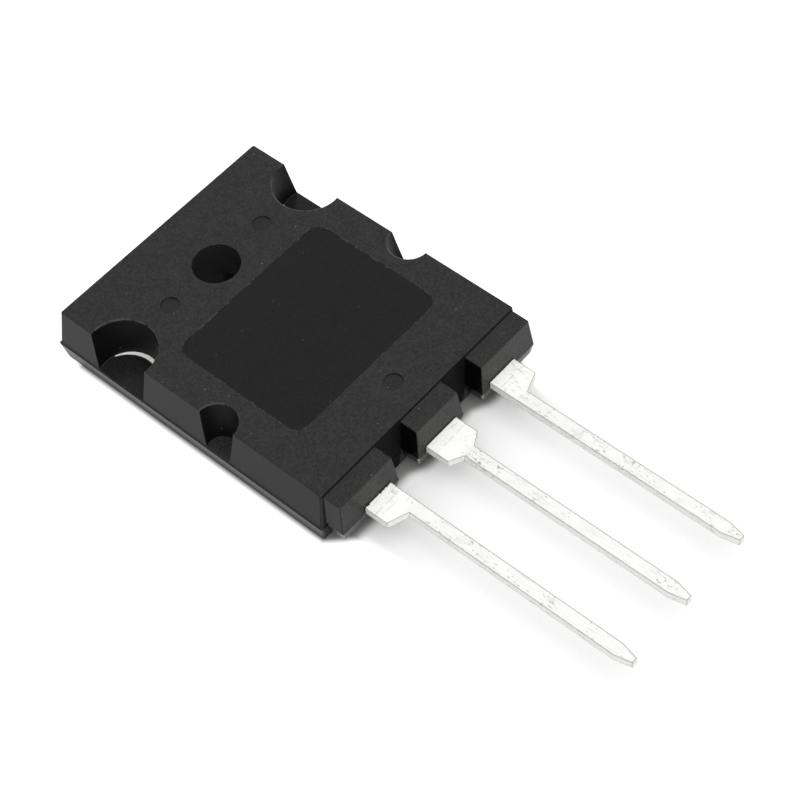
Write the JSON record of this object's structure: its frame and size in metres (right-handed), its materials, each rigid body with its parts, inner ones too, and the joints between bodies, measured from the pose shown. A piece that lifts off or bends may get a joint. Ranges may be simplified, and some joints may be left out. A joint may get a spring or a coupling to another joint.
{
  "type": "power transistor",
  "caption": "Flat black moulded transistor package with a metal heatsink back, a screw hole, side notches and straight tinned leads along one end.",
  "frame": {"origin": "on the axis of the mounting hole, on the back (heatsink) plane", "axes": "+Z out of the marked face along the hole, +Y towards the head end, leads towards -Y, X across the leads"},
  "size_m": [0.02, 0.0455, 0.0049],
  "materials": {
    "epoxy": "matte moulded",
    "tinned_copper": "tin plated",
    "silicon": "polished",
    "solder": "dull",
    "bond_wire": "drawn"
  },
  "bodies": {
    "root": {"epoxy_body": "epoxy", "collector_frame": "tinned_copper", "base_lead": "tinned_copper", "emitter_lead": "tinned_copper", "die": "silicon", "die_solder": "solder", "base_wire": "bond_wire", "emitter_wire_inner": "bond_wire", "emitter_wire_outer": "bond_wire"}
  },
  "joints": []
}
